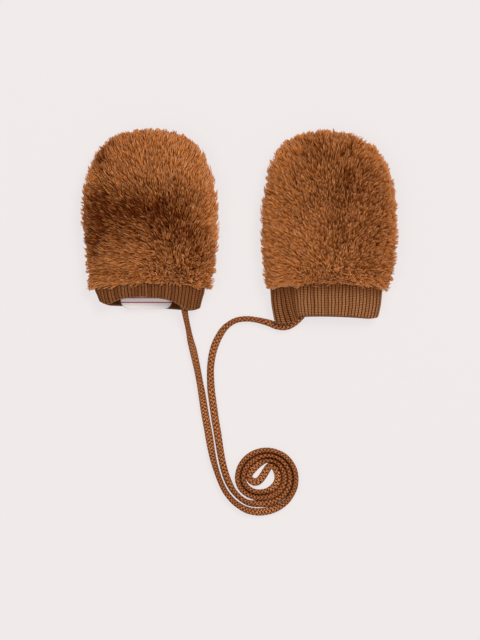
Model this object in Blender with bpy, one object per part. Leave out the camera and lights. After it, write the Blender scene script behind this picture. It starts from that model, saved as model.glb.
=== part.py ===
"""A pair of baby mittens in long-pile teddy fur, laid flat side by side and joined by one knitted cord.

Each mitten is a front and a back panel of fur cloth, sewn together round the side and the tip, with a
ribbed knit cuff sewn to the open end. The fur panels are as thick as cloth and pile together. The left
cuff gapes and shows the label inside it. The cord is sewn in at both cuffs, and its middle is doubled
and rolled up into a flat coil.

Lengths below are in millimetres, and the meshes are in metres. The pair lies on z = 0, with x across
the pair and y from the cuffs to the tips.
"""

import math
from collections import namedtuple

import bmesh
import bpy
import numpy as np

MM = 0.001
SEAM_GAP = 0.3  # between pieces that are sewn or laid together

# Fur panels
BODY_LENGTH = 116.0  # from the fur's lower corners to its tip
SIDE_WALL = 7.0  # cloth and pile, measured outwards from the side seam
SPINE_END = 78.0  # where the tip's round end has its centre
SEAM_HEIGHT = 10.5  # of the side seam above the floor
CAVITY_HALF_HEIGHT = 4.3  # room for the hand, above and below the side seam
CAVITY_BLEND = 22.0  # length over which the room widens from the cuff's
FLAT_SHARE = 0.72  # of the half-width that rests on the floor
CROWN_POWER = 2.4  # of the front's cross-section: 2 is an ellipse, and more is squarer
SEAM_ARCH = 4.0  # how far the seam between fur and cuff rises towards its middle
SEAM_ARCH_FADE = 6  # how fast that rise fades towards the tip
LIP_CLEARANCE = 0.8  # between the fur that hangs over the cuff and the cuff's ribs
OUTLINE_STEPS = 36
RING_STEPS = 8

# Ribbed cuffs
CUFF_WALL = 2.4  # doubled rib knit, without the ribs
RIB_HEIGHT = 0.7
RIB_COUNT = 54
SECTION_POWER = 3  # of the cuff's and the hand's room's cross-section, as CROWN_POWER
GROOVE_TO_CREST = (0.0, 0.3, 0.7)  # points of one rib, as shares of its pitch: a groove, then a crest
HEM_ROUND = 0.9  # the folded hem's rounding

# Label
LABEL_WALL = 1.0
LABEL_CORNER = 6.0
LABEL_HALF_WIDTH = 18.0
LABEL_MIDDLE = -2.5  # across, from the mitten's middle
LABEL_HEM = -12.6  # along: the label's lower edge, just past the cuff's hem
LABEL_LENGTH = 15.0

# Cord
CORD_WIDTH = 5.0
CORD_POINT_SPACING = 12.0
COIL_CENTRE = (19.0, -179.2)
COIL_RADIUS = 22.2
COIL_HOLE_RADIUS = 5.0
COIL_EDGE_ROUND = 1.6

OutlineRow = namedtuple("OutlineRow", "across along")
CrownRow = namedtuple("CrownRow", "along top")
CuffRow = namedtuple("CuffRow", "along half_width mid half_height")
FoldRow = namedtuple("FoldRow", "across along heading length width depth")
CordRow = namedtuple("CordRow", "x y z")

# The fur's edge seen from above, from its lower corner up one side to the tip
OUTLINE = (
    OutlineRow(42.6, 0.0),
    OutlineRow(44.9, 8.0),
    OutlineRow(46.8, 25.0),
    OutlineRow(48.0, 46.0),
    OutlineRow(47.0, 66.0),
    OutlineRow(43.6, 83.0),
    OutlineRow(37.6, 97.0),
    OutlineRow(28.0, 108.0),
    OutlineRow(15.0, 114.4),
    OutlineRow(0.0, BODY_LENGTH),
)

# The fur's highest line above the floor
CROWN = (
    CrownRow(0.0, 19.8),
    CrownRow(10.0, 22.6),
    CrownRow(30.0, 24.6),
    CrownRow(60.0, 25.2),
    CrownRow(90.0, 24.4),
    CrownRow(BODY_LENGTH, 22.0),
)

# How each mitten lies. hem_arch and hem_arch_back are how far the hem's middle lies above its corners,
# hem_tilt how far its right corner lies above its left one, and rib_pull how far the cord pulls the ribs
# sideways, as a share of the cuff's girth.
LAYS = {
    "left": {
        "place": (-62.5, -47.3),
        "cuff_shift": 0.0,
        "hem_arch": 6.4,
        "hem_arch_back": -0.4,
        "hem_tilt": -3.2,
        "hem_lobe": 0.0,
        "rib_pull": 0.0,
        "cuff": (
            CuffRow(9.0, 38.4, 10.3, 6.0),
            CuffRow(0.0, 37.9, 9.6, 6.2),
            CuffRow(-5.0, 35.8, 8.6, 7.2),
            CuffRow(-9.4, 34.0, 8.0, 7.4),
            CuffRow(-11.0, 33.4, 8.0, 7.2),
        ),
        "folds": (
            FoldRow(2.0, 60.0, -8.0, 84.0, 8.5, 2.4),
            FoldRow(-34.0, 93.0, 55.0, 26.0, 4.0, 1.4),
            FoldRow(14.0, 34.0, -50.0, 40.0, 7.0, 1.0),
        ),
    },
    "right": {
        "place": (62.7, -47.5),
        "cuff_shift": -1.6,
        "hem_arch": 1.6,
        "hem_arch_back": 0.6,
        "hem_tilt": 0.6,
        "hem_lobe": -3.4,
        "rib_pull": 0.028,
        "cuff": (
            CuffRow(2.4, 38.7, 10.2, 6.0),
            CuffRow(0.0, 38.6, 9.8, 6.2),
            CuffRow(-9.0, 37.4, 7.8, 7.0),
            CuffRow(-16.0, 36.0, 6.6, 6.7),
            CuffRow(-18.6, 35.2, 6.5, 6.4),
        ),
        "folds": (
            FoldRow(10.0, 70.0, 60.0, 60.0, 8.0, 1.8),
            FoldRow(-14.0, 52.0, 75.0, 34.0, 6.0, 1.0),
            FoldRow(24.0, 36.0, 110.0, 30.0, 6.0, 0.9),
        ),
    },
}
LOBE_ACROSS = -26.5  # where the cord pulls the right cuff's hem down, from the cuff's middle
LOBE_HALF_WIDTH = 9.5
RIB_PULL_AT = 0.43  # share of the cuff's girth where the pull is greatest
RIB_PULL_REACH = 0.04

# The cord from inside each cuff to the coil, point by point
CORD_ROUTES = {
    "cord_left": (
        CordRow(-41.2, -42.2, 9.9),
        CordRow(-40.0, -49.4, 8.8),
        CordRow(-39.1, -55.2, 8.6),
        CordRow(-38.4, -60.0, 8.2),
        CordRow(-37.4, -66.0, 5.7),
        CordRow(-35.8, -73.8, 2.8),
        CordRow(-33.5, -83.2, 2.5),
        CordRow(-31.4, -92.6, 2.5),
        CordRow(-29.4, -101.3, 2.5),
        CordRow(-27.7, -110.0, 2.5),
        CordRow(-25.8, -119.4, 2.5),
        CordRow(-24.4, -128.1, 2.5),
        CordRow(-22.9, -140.2, 2.5),
        CordRow(-21.6, -147.7, 2.5),
        CordRow(-19.5, -158.4, 2.5),
        CordRow(-16.8, -169.1, 2.5),
        CordRow(-12.5, -181.4, 2.5),
        CordRow(-8.7, -188.4, 2.5),
        CordRow(-3.4, -194.3, 2.5),
        CordRow(1.4, -197.4, 2.5),
    ),
    "cord_right": (
        CordRow(52.0, -50.5, 9.0),
        CordRow(48.6, -57.2, 7.8),
        CordRow(43.8, -63.6, 6.6),
        CordRow(38.6, -68.8, 5.2),
        CordRow(32.8, -71.8, 3.6),
        CordRow(26.4, -71.3, 2.6),
        CordRow(19.4, -68.6, 2.5),
        CordRow(11.7, -66.4, 2.5),
        CordRow(5.1, -66.2, 2.5),
        CordRow(-1.6, -67.5, 2.5),
        CordRow(-7.0, -70.0, 2.5),
        CordRow(-11.7, -74.5, 2.5),
        CordRow(-15.7, -81.8, 2.5),
        CordRow(-18.4, -88.6, 2.5),
        CordRow(-19.8, -95.3, 2.5),
        CordRow(-20.2, -103.3, 2.5),
        CordRow(-20.0, -111.4, 2.5),
        CordRow(-19.1, -119.4, 2.5),
        CordRow(-17.7, -128.1, 2.5),
        CordRow(-16.4, -138.0, 2.5),
        CordRow(-14.9, -147.7, 2.5),
        CordRow(-12.8, -158.4, 2.5),
        CordRow(-10.4, -168.1, 2.5),
        CordRow(-8.0, -176.6, 2.5),
        CordRow(-7.3, -179.2, 2.5),
    ),
}


def clear_scene():
    for item in list(bpy.data.objects):
        bpy.data.objects.remove(item)


def fabric(name, colour, roughness):
    """A cloth material: sRGB colour, rough and not metallic."""
    material = bpy.data.materials.new(name)
    material.use_nodes = True
    shader = material.node_tree.nodes["Principled BSDF"]
    linear = [(c / 12.92 if c <= 0.04045 else ((c + 0.055) / 1.055) ** 2.4) for c in colour]
    shader.inputs["Base Color"].default_value = (*linear, 1.0)
    shader.inputs["Roughness"].default_value = roughness
    shader.inputs["Metallic"].default_value = 0.0
    return material


def smooth_curve(points, spans=16):
    """A fine curve that passes smoothly through all the points."""
    p = np.asarray(points, float)
    p = np.vstack([2 * p[0] - p[1], p, 2 * p[-1] - p[-2]])
    t = np.linspace(0, 1, spans, endpoint=False)[:, None]
    parts = []
    for a, b, c, d in zip(p[:-3], p[1:-2], p[2:-1], p[3:]):
        parts.append(
            0.5 * (2 * b + (c - a) * t + (2 * a - 5 * b + 4 * c - d) * t**2 + (3 * b - a - 3 * c + d) * t**3)
        )
    return np.vstack([*parts, p[-2]])


def evenly(curve, count):
    """count points spaced evenly along a curve, its ends among them."""
    along = np.concatenate([[0], np.cumsum(np.linalg.norm(np.diff(curve, axis=0), axis=1))])
    wanted = np.linspace(0, along[-1], count)
    return np.stack([np.interp(wanted, along, column) for column in curve.T], axis=1)


def dome(share, power):
    """1 at the middle, falling to 0 with an upright tangent at the edge."""
    return np.sqrt(np.clip(1 - np.abs(share) ** power, 0, 1))


def whole_outline(rows, count):
    """Points round the fur's edge, from the lower right corner over the tip to the lower left one."""
    half = evenly(smooth_curve(rows), count // 2 + 1)
    return np.vstack([half, half[-2::-1] * (-1, 1)])


def inner_rows(lay):
    """The side seam's outline: the fur's edge moved inwards, starting at the cuff's seam."""
    join = lay["cuff"][0]
    edge = smooth_curve(OUTLINE)
    step = np.gradient(edge, axis=0)
    inward = np.stack([-step[:, 1], step[:, 0]], axis=1)
    inward /= np.linalg.norm(inward, axis=1)[:, None]
    moved = edge + inward * SIDE_WALL
    moved[-1] = (0.0, BODY_LENGTH - SIDE_WALL)
    moved = moved[moved[:, 1] > join.along + SIDE_WALL]
    start = (join.half_width - CUFF_WALL, join.along + SEAM_GAP)
    return np.vstack([start, moved[::12], moved[-1]])


def mid_height(along, lay):
    """Height of the side seam, which comes down to the cuff's middle towards the open end."""
    rows = lay["cuff"][1::-1]
    return np.interp(
        along,
        [row.along for row in rows] + [rows[-1].along + CAVITY_BLEND],
        [row.mid for row in rows] + [SEAM_HEIGHT],
    )


def crown_height(along):
    curve = smooth_curve(CROWN)
    return np.interp(along, curve[:, 0], curve[:, 1])


def cavity_half_height(along, lay):
    join = lay["cuff"][0]
    return np.interp(
        along,
        [join.along, join.along + CAVITY_BLEND],
        [join.half_height - CUFF_WALL, CAVITY_HALF_HEIGHT],
    )


def fold_depth(x, y, folds):
    """How far the soft creases of the front press the fur in at (x, y)."""
    total = np.zeros_like(x)
    for fold in folds:
        turn = math.radians(fold.heading)
        dx, dy = x - fold.across, y - fold.along
        along = dx * math.cos(turn) + dy * math.sin(turn)
        off = -dx * math.sin(turn) + dy * math.cos(turn)
        total += fold.depth * np.exp(-((off / fold.width) ** 2)) * dome(along / (fold.length / 2), 2) ** 2
    return total


def spread(outline, shares):
    """Rings between the mitten's middle line and an outline: an array of (outline point, ring, xy)."""
    middle = np.stack([np.zeros(len(outline)), np.minimum(outline[:, 1], SPINE_END)], axis=1)
    return middle[:, None] + (outline - middle)[:, None] * shares[None, :, None]


def end_row(half_width, along, lay, shares, side, half_height):
    """A row of points across the open end, from the right edge to the left one."""
    across = np.concatenate([shares[::-1], -shares[1:]])
    x = half_width * across + lay["cuff_shift"]
    y = along + SEAM_ARCH * (1 - across**2)
    z = mid_height(along, lay) + side * (SEAM_GAP / 2 + half_height * dome(across, SECTION_POWER))
    return np.stack([x, y, z], axis=1)


def fit_to_cuff(x, y, z, lay, shares):
    """Bends the panel's open end to the arch of the cuff's seam and to the cuff's place."""
    near_end = np.clip(1 - (y - y.min()) / (SPINE_END - y.min()), 0, 1) ** SEAM_ARCH_FADE
    rise = SEAM_ARCH * (1 - shares**2) * near_end
    return np.stack([x + lay["cuff_shift"] * near_end, y + rise, z], axis=2)


class Skin:
    """Collects points and faces, with points in the same place made one."""

    def __init__(self):
        self.points, self.faces, self.index = [], [], {}

    def point(self, place):
        key = tuple(round(float(v), 3) for v in place)
        if key not in self.index:
            self.index[key] = len(self.points)
            self.points.append(key)
        return self.index[key]

    def face(self, *corners):
        found = []
        for corner in corners:
            number = self.point(corner)
            if number not in found:
                found.append(number)
        if len(found) > 2:
            self.faces.append(found)

    def grid(self, rows, closed=False):
        """Faces between rows of points, one row after another."""
        columns = len(rows[0])
        for first, second in zip(rows[:-1], rows[1:]):
            for i in range(columns if closed else columns - 1):
                j = (i + 1) % columns
                self.face(first[i], first[j], second[j], second[i])

    def build(self, name, material, place=(0.0, 0.0)):
        mesh = bpy.data.meshes.new(name)
        mesh.from_pydata([tuple(v * MM for v in p) for p in self.points], [], self.faces)
        shape = bmesh.new()
        shape.from_mesh(mesh)
        bmesh.ops.recalc_face_normals(shape, faces=shape.faces)
        shape.to_mesh(mesh)
        shape.free()
        mesh.materials.append(material)
        item = bpy.data.objects.new(name, mesh)
        item.location = (place[0] * MM, place[1] * MM, 0.0)
        bpy.context.collection.objects.link(item)
        return item


def fur_panel(name, lay, side, material):
    """The front panel (side 1) or back panel (side -1), as thick as its cloth and pile."""
    shares = np.sin(np.linspace(0, math.pi / 2, RING_STEPS + 1))
    outer = spread(whole_outline(OUTLINE, OUTLINE_STEPS), shares)
    inner = spread(whole_outline(inner_rows(lay), OUTLINE_STEPS), shares)
    skin = Skin()

    x, y = outer[..., 0], outer[..., 1]
    seam = mid_height(y, lay) + side * SEAM_GAP / 2
    if side > 0:
        rise = (crown_height(y) - seam) * dome(shares, CROWN_POWER)
        z = seam + rise - fold_depth(x, y, lay["folds"]) * dome(shares, CROWN_POWER)
    else:
        edge = np.clip((shares - FLAT_SHARE) / (1 - FLAT_SHARE), 0, 1)
        z = seam * (1 - np.sqrt(1 - edge**2))
    outer = fit_to_cuff(x, y, z, lay, shares)

    x, y = inner[..., 0], inner[..., 1]
    z = mid_height(y, lay) + side * (SEAM_GAP / 2 + cavity_half_height(y, lay) * dome(shares, SECTION_POWER))
    inner = fit_to_cuff(x, y, z, lay, shares)

    skin.grid(outer)
    skin.grid(inner)
    skin.grid([outer[1:-1, -1], inner[1:-1, -1]])

    join, edge = lay["cuff"][0], lay["cuff"][1]
    grow = RIB_HEIGHT + LIP_CLEARANCE
    rows = [
        np.vstack([inner[0, ::-1], inner[-1, 1:]]),
        end_row(join.half_width + grow, join.along + SEAM_GAP, lay, shares, side, join.half_height + grow),
        end_row(edge.half_width + grow, edge.along, lay, shares, side, edge.half_height + grow),
        np.vstack([outer[0, ::-1], outer[-1, 1:]]),
    ]
    skin.grid(rows)
    for end, following in ((0, 1), (-1, -2)):
        skin.face(outer[end, -1], outer[following, -1], rows[1][end], rows[2][end])
        skin.face(outer[following, -1], inner[following, -1], inner[end, -1], rows[1][end])
    return skin.build(name, material, lay["place"])


def section(angle, half_width, half_height):
    """Points round the cuff's cross-section: an ellipse with fuller sides."""
    across = np.sign(np.cos(angle)) * np.abs(np.cos(angle)) ** (2 / SECTION_POWER)
    return half_width * across, half_height * np.sin(angle)


def cuff_ring(lay, row, shares, inset, lift, pull):
    """Points round the cuff at one row. inset moves them inwards and lift outwards along the surface."""
    turn = np.linspace(0, 2 * math.pi, 4 * 360 + 1)
    half_width, half_height = row.half_width - inset, row.half_height - inset
    x, z = section(turn, half_width, half_height)
    girth = np.concatenate([[0], np.cumsum(np.hypot(np.diff(x), np.diff(z)))])
    wanted = shares - pull * np.exp(-(((shares - RIB_PULL_AT) / RIB_PULL_REACH) ** 2))
    angle = np.interp(wanted * girth[-1], girth, turn)
    x, z = section(angle, half_width, half_height)
    normal_x = SECTION_POWER * np.sign(x) * np.abs(x / half_width) ** (SECTION_POWER - 1) / half_width
    normal_z = 2 * z / half_height**2
    size = np.hypot(normal_x, normal_z)
    lowest = RIB_HEIGHT - lift + (CUFF_WALL if inset == CUFF_WALL else 0)
    height = np.maximum(row.mid + z + lift * normal_z / size, lowest)

    join, hem = lay["cuff"][0], lay["cuff"][-1]
    to_hem = (join.along - row.along) / (join.along - hem.along)
    across = x / half_width
    hem_arch = np.where(z > 0, lay["hem_arch"], lay["hem_arch_back"])
    arch = SEAM_ARCH * (1 - to_hem) + hem_arch * to_hem
    off_lobe = np.clip(np.abs(x - LOBE_ACROSS) / LOBE_HALF_WIDTH, 0, 1)
    lobe = lay["hem_lobe"] * to_hem**2 * (1 - off_lobe**2) ** 2 * (z > 0)
    along = row.along + arch * (1 - across**2) + lay["hem_tilt"] / 2 * across * to_hem**2 + lobe
    return np.stack([x + lift * normal_x / size + lay["cuff_shift"], along, height], axis=1)


def cuff(name, lay, material):
    """The ribbed tube: ribs outside, plain inside, rounded at the folded hem."""
    rib = np.arange(RIB_COUNT)
    outer_shares = ((rib[:, None] + np.array(GROOVE_TO_CREST)) / RIB_COUNT).reshape(-1)
    lift = np.tile([0.0, RIB_HEIGHT, RIB_HEIGHT], RIB_COUNT)
    inner_shares = rib / RIB_COUNT
    rows = lay["cuff"]
    pulls = [lay["rib_pull"] * i / (len(rows) - 1) for i in range(len(rows))]
    outer = [cuff_ring(lay, row, outer_shares, 0.0, lift, pull) for row, pull in zip(rows, pulls)]
    hem = rows[-1]._replace(along=rows[-1].along - HEM_ROUND * 0.7)
    outer.append(cuff_ring(lay, hem, outer_shares, HEM_ROUND, lift, pulls[-1]))
    inner = [cuff_ring(lay, row, inner_shares, CUFF_WALL, 0.0, pull) for row, pull in zip(rows, pulls)]
    skin = Skin()
    skin.grid(outer, closed=True)
    skin.grid(inner, closed=True)
    for ribbed, plain in ((outer[0], inner[0]), (outer[-1], inner[-1])):
        for i in range(RIB_COUNT):
            j = (i + 1) % RIB_COUNT
            groove, rise, fall, following = (ribbed[3 * i], ribbed[3 * i + 1], ribbed[3 * i + 2], ribbed[3 * j])
            skin.face(groove, rise, plain[i])
            skin.face(rise, fall, plain[j], plain[i])
            skin.face(fall, following, plain[j])
    return skin.build(name, material, lay["place"])


def cuff_floor(lay, across, along):
    """Height of the cuff's inside above the floor, under its lower layer's inner face."""
    rows = lay["cuff"][::-1]
    places = [row.along for row in rows]
    half_width = np.interp(along, places, [row.half_width - CUFF_WALL for row in rows])
    low = np.interp(along, places, [row.mid for row in rows])
    depth = np.interp(along, places, [row.half_height - CUFF_WALL for row in rows])
    return np.maximum(low - depth * dome(across / half_width, SECTION_POWER), RIB_HEIGHT + CUFF_WALL)


def label(name, lay, material):
    """The woven label that lies inside the cuff on its lower layer, with round lower corners."""
    ahead = np.array([0.0, 0.8, 2.2, 4.0, LABEL_CORNER, LABEL_LENGTH * 0.6, LABEL_LENGTH])
    corner = np.sqrt(np.clip(LABEL_CORNER**2 - (LABEL_CORNER - np.minimum(ahead, LABEL_CORNER)) ** 2, 0, None))
    half_width = LABEL_HALF_WIDTH - LABEL_CORNER + corner
    across = np.linspace(-1, 1, 13)
    x = LABEL_MIDDLE + half_width[:, None] * across
    y = (LABEL_HEM + ahead)[:, None] + 0 * x
    inside = cuff_floor(lay, x, np.maximum(y, lay["cuff"][-1].along))
    under = np.stack([x, y, inside + SEAM_GAP], axis=2)
    over = np.stack([x, y, inside + SEAM_GAP + LABEL_WALL], axis=2)
    skin = Skin()
    skin.grid(under)
    skin.grid(over)
    edges = [(under[0], over[0]), (under[-1], over[-1]), (under[:, 0], over[:, 0]), (under[:, -1], over[:, -1])]
    for low, high in edges:
        skin.grid([low, high])
    return skin.build(name, material, lay["place"])


def cord_tube(name, rows, material):
    """One stretch of the cord that isn't coiled."""
    curve = smooth_curve(rows)
    length = np.linalg.norm(np.diff(curve, axis=0), axis=1).sum()
    points = evenly(curve, round(length / CORD_POINT_SPACING) + 1)
    data = bpy.data.curves.new(name, "CURVE")
    data.dimensions = "3D"
    spline = data.splines.new("POLY")
    spline.points.add(len(points) - 1)
    for target, point in zip(spline.points, points):
        target.co = (*(point * MM), 1.0)
    data.bevel_depth = CORD_WIDTH / 2 * MM
    data.bevel_resolution = 3
    data.use_fill_caps = True
    data.materials.append(material)
    item = bpy.data.objects.new(name, data)
    bpy.context.collection.objects.link(item)
    return item


def cord_coil(name, material):
    """The outer shape of the rolled-up middle of the cord: a flat turned ring."""
    inner, outer, height, rounding = COIL_HOLE_RADIUS, COIL_RADIUS, CORD_WIDTH, COIL_EDGE_ROUND
    profile = []
    for x, z, start in (
        (outer - rounding, height - rounding, 0),
        (inner + rounding, height - rounding, 90),
        (inner + rounding, rounding, 180),
        (outer - rounding, rounding, 270),
    ):
        for step in (0, 45, 90):
            angle = math.radians(start + step)
            profile.append((x + rounding * math.cos(angle), z + rounding * math.sin(angle)))
    steps = 40
    rings = []
    for step in range(steps):
        turn = 2 * math.pi * step / steps
        rings.append([(r * math.cos(turn), r * math.sin(turn), z) for r, z in profile])
    skin = Skin()
    skin.grid([*rings, rings[0]], closed=True)
    return skin.build(name, material, COIL_CENTRE)


def main():
    clear_scene()
    fur = fabric("teddy_fur", (0.58, 0.35, 0.19), 0.9)
    knit = fabric("rib_knit", (0.51, 0.32, 0.19), 0.85)
    cord = fabric("knitted_cord", (0.55, 0.33, 0.18), 0.8)
    woven = fabric("woven_label", (0.82, 0.84, 0.85), 0.7)
    for side, lay in LAYS.items():
        fur_panel(f"{side}_front_fur", lay, 1, fur)
        fur_panel(f"{side}_back_fur", lay, -1, fur)
        cuff(f"{side}_cuff", lay, knit)
    label("left_label", LAYS["left"], woven)
    for name, rows in CORD_ROUTES.items():
        cord_tube(name, rows, cord)
    cord_coil("cord_coil", cord)


main()
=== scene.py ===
import math
from collections import namedtuple
from functools import partial
from itertools import product

import bmesh
import bpy
import numpy as np
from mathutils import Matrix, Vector, noise
from mathutils.bvhtree import BVHTree
from mathutils.geometry import convex_hull_2d
from mathutils.kdtree import KDTree


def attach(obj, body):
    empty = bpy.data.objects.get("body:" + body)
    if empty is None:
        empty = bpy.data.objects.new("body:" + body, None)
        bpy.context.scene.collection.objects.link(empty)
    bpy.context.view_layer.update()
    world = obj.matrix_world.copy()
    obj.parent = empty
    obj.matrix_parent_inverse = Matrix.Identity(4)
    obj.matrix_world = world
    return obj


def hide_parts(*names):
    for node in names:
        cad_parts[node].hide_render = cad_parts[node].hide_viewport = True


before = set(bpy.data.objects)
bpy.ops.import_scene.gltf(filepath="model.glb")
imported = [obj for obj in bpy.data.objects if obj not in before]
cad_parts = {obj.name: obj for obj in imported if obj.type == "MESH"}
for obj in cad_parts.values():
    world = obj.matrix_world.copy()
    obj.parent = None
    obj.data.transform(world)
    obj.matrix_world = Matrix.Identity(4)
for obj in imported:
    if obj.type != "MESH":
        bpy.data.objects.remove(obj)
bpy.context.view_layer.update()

MM = 0.001
# Where the random draws start, for each fur panel
SEEDS = {("left", "front"): 7, ("left", "back"): 17, ("right", "front"): 107, ("right", "back"): 117}

# The photograph seen from straight above: the view's middle, its height and the camera's distance
VIEW_MIDDLE = (0.35, -67.5)
VIEW_HEIGHT = 448.0
CAMERA_HEIGHT = 2400.0
SENSOR = 36.0

# Where each mitten's local frame lies: across from its middle, along from the fur's lower corners to the tip
PLACES = {"left": (-62.5, -47.3), "right": (62.7, -47.5)}


# Camera


def overhead_camera():
    data = bpy.data.cameras.new("overhead")
    data.sensor_fit = "VERTICAL"
    data.sensor_height = SENSOR
    data.lens = SENSOR * CAMERA_HEIGHT / VIEW_HEIGHT
    data.clip_end = 10
    camera = bpy.data.objects.new("overhead", data)
    camera.location = (VIEW_MIDDLE[0] * MM, VIEW_MIDDLE[1] * MM, CAMERA_HEIGHT * MM)
    bpy.context.collection.objects.link(camera)
    bpy.context.scene.camera = camera


overhead_camera()


# Meshes and materials


def srgb(code):
    """An sRGB hex colour as linear red, green, blue and 1."""
    parts = [int(code[i : i + 2], 16) / 255 for i in (1, 3, 5)]
    return (*(c / 12.92 if c <= 0.04045 else ((c + 0.055) / 1.055) ** 2.4 for c in parts), 1.0)


def add_node(tree, kind, *inputs, stops=(), **named):
    """Adds a shader node. An input is a value, or a node or an output to link, and is given in order or
    by name. A name in small letters is a setting. stops are a colour ramp's places and hex colours."""
    made = tree.nodes.new("ShaderNode" + kind)
    for name in filter(str.islower, named):
        setattr(made, name, named[name])
    if stops:
        elements = made.color_ramp.elements
        while len(elements) < len(stops):
            elements.new(0.5)
        for element, (place, code) in zip(elements, stops):
            element.position = place
            element.color = srgb(code)
    pairs = list(zip((socket for socket in made.inputs if socket.enabled), inputs))
    pairs += [(made.inputs[n.replace("_", " ")], value) for n, value in named.items() if not n.islower()]
    for socket, value in pairs:
        if isinstance(value, bpy.types.Node):
            value = next(output for output in value.outputs if output.enabled)
        if isinstance(value, bpy.types.NodeSocket):
            tree.links.new(value, socket)
        else:
            socket.default_value = value
    return made


def new_material(name):
    """An empty material, and the function that adds nodes to it."""
    material = bpy.data.materials.new(name)
    material.use_nodes = True
    material.node_tree.nodes.clear()
    return material, partial(add_node, material.node_tree)


def mesh_object(name, points, faces, material):
    """A piece that rides on the one body. Points are in millimetres."""
    mesh = bpy.data.meshes.new(name)
    mesh.from_pydata((np.asarray(points) * MM).tolist(), [], faces)
    mesh.polygons.foreach_set("use_smooth", [True] * len(mesh.polygons))
    mesh.materials.append(material)
    piece = bpy.data.objects.new(name, mesh)
    bpy.context.collection.objects.link(piece)
    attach(piece, "root")
    return piece


def add_uv(piece, name, per_point):
    """A UV map with one place for each of the mesh's points."""
    mesh = piece.data
    corners = np.empty(len(mesh.loops), int)
    mesh.loops.foreach_get("vertex_index", corners)
    layer = mesh.uv_layers.new(name=name)
    layer.data.foreach_set("uv", np.asarray(per_point, float)[corners].ravel())


def add_shade(piece, name, per_point):
    """A number for each of the mesh's points, that shades its material."""
    shade = piece.data.attributes.new(name, "FLOAT", "POINT")
    shade.data.foreach_set("value", np.asarray(per_point, np.float32).ravel())


def smooth_curve(points, spans=16):
    """A fine curve that passes smoothly through all the points."""
    p = np.asarray(points, float)
    p = np.vstack([2 * p[0] - p[1], p, 2 * p[-1] - p[-2]])
    t = np.linspace(0, 1, spans, endpoint=False)[:, None]
    parts = []
    for a, b, c, d in zip(p[:-3], p[1:-2], p[2:-1], p[3:]):
        parts.append(
            0.5 * (2 * b + (c - a) * t + (2 * a - 5 * b + 4 * c - d) * t**2 + (3 * b - a - 3 * c + d) * t**3)
        )
    return np.vstack([*parts, p[-2]])


def evenly(curve, count):
    """count points spaced evenly along a curve, its ends among them. Distances are those of x, y and z."""
    steps = np.linalg.norm(np.diff(curve[:, :3], axis=0), axis=1)
    along = np.concatenate([[0], np.cumsum(steps)])
    wanted = np.linspace(0, along[-1], count)
    return np.stack([np.interp(wanted, along, column) for column in curve.T], axis=1)


def drift(places, scale, offset):
    """Smooth noise from -1 to 1 at places."""
    return np.array([noise.noise(Vector(p) / scale + Vector((offset, 0, 0))) for p in places])


# Fibres' faint glints, in the yarn's own colour
FIBRES = {
    "IOR": 1.5,
    "Specular_IOR_Level": 0.1,
    "Specular_Tint": srgb("#d08a4c"),
    "Sheen_Weight": 0.1,
    "Sheen_Roughness": 0.5,
    "Sheen_Tint": srgb("#e09a5c"),
}
PILE_SHEEN = 0.04
JERSEY_GRAIN = 10 / 9  # mm; real loops are finer, and these are as coarse as they need to show
SATIN_THREAD = 0.3927  # mm from one thread to the next
BANDS_A_UNIT = 10 / math.pi  # of a wave texture, at a scale of 1

# The label's two woven stripes, by their place along Y in millimetres
STRIPES_MIDDLE = -53.6
STRIPES_APART = 3.2
STRIPE_WIDTH = 0.8

# Knit: V stitches in columns, for the cord and the cuffs. The UV map "knit" counts stitches: u across
# the columns and v along them.


def knit_colour_and_relief(add, lean, stagger, yarn_and_shade_stops):
    """The colour and the height of V stitches, from the UV map that counts them. Every other column lies
    further along by the stagger. The colour is painted shade in the holes and painted highlight on the
    raised yarn."""
    place = add("UVMap", uv_map="knit")
    across, along, _ = add("SeparateXYZ", place).outputs
    in_column = add("Math", across, operation="FRACT")
    from_middle = add("Math", in_column, 0.5, operation="SUBTRACT")
    off_middle = add("Math", from_middle, operation="ABSOLUTE")
    from_yarn = add("Math", off_middle, 4.0, -1.0, operation="MULTIPLY_ADD")
    off_yarn = add("Math", from_yarn, operation="ABSOLUTE")
    yarn = add("Math", 1.0, off_yarn, operation="SUBTRACT")
    pairs = add("Math", across, 0.5, operation="MULTIPLY")
    in_pair = add("Math", pairs, operation="FRACT")
    odd = add("Math", in_pair, 0.5, operation="GREATER_THAN")
    staggered = add("Math", odd, stagger, along, operation="MULTIPLY_ADD")
    leaning = add("Math", off_middle, lean, staggered, operation="MULTIPLY_ADD")
    in_stitch = add("Math", leaning, operation="FRACT")
    half_turn = add("Math", in_stitch, math.pi, operation="MULTIPLY")
    bead = add("Math", half_turn, operation="SINE")
    raised = add("Math", yarn, 0.45, 0.55, operation="MULTIPLY_ADD")
    chevron = add("Math", raised, bead, operation="MULTIPLY")
    off_column = add("Math", 1.0, yarn, operation="SUBTRACT")
    off_bead = add("Math", 1.0, bead, operation="SUBTRACT")
    hole = add("Math", off_column, off_bead, operation="MULTIPLY")
    upper = add("Math", chevron, 0.5, 0.5, operation="MULTIPLY_ADD")
    relief = add("Math", hole, -0.6, upper, operation="MULTIPLY_ADD")
    fuzz = add("TexNoise", Vector=place, Scale=1.9, Detail=3.0)
    fuzz_off = add("Math", fuzz, 0.5, operation="SUBTRACT")
    # Painted light: the raised yarn lighter and the holes darker, with random fuzz
    lit = add("Math", fuzz_off, 0.7, relief, operation="MULTIPLY_ADD")
    return add("ValToRGB", lit, stops=yarn_and_shade_stops), relief


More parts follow.
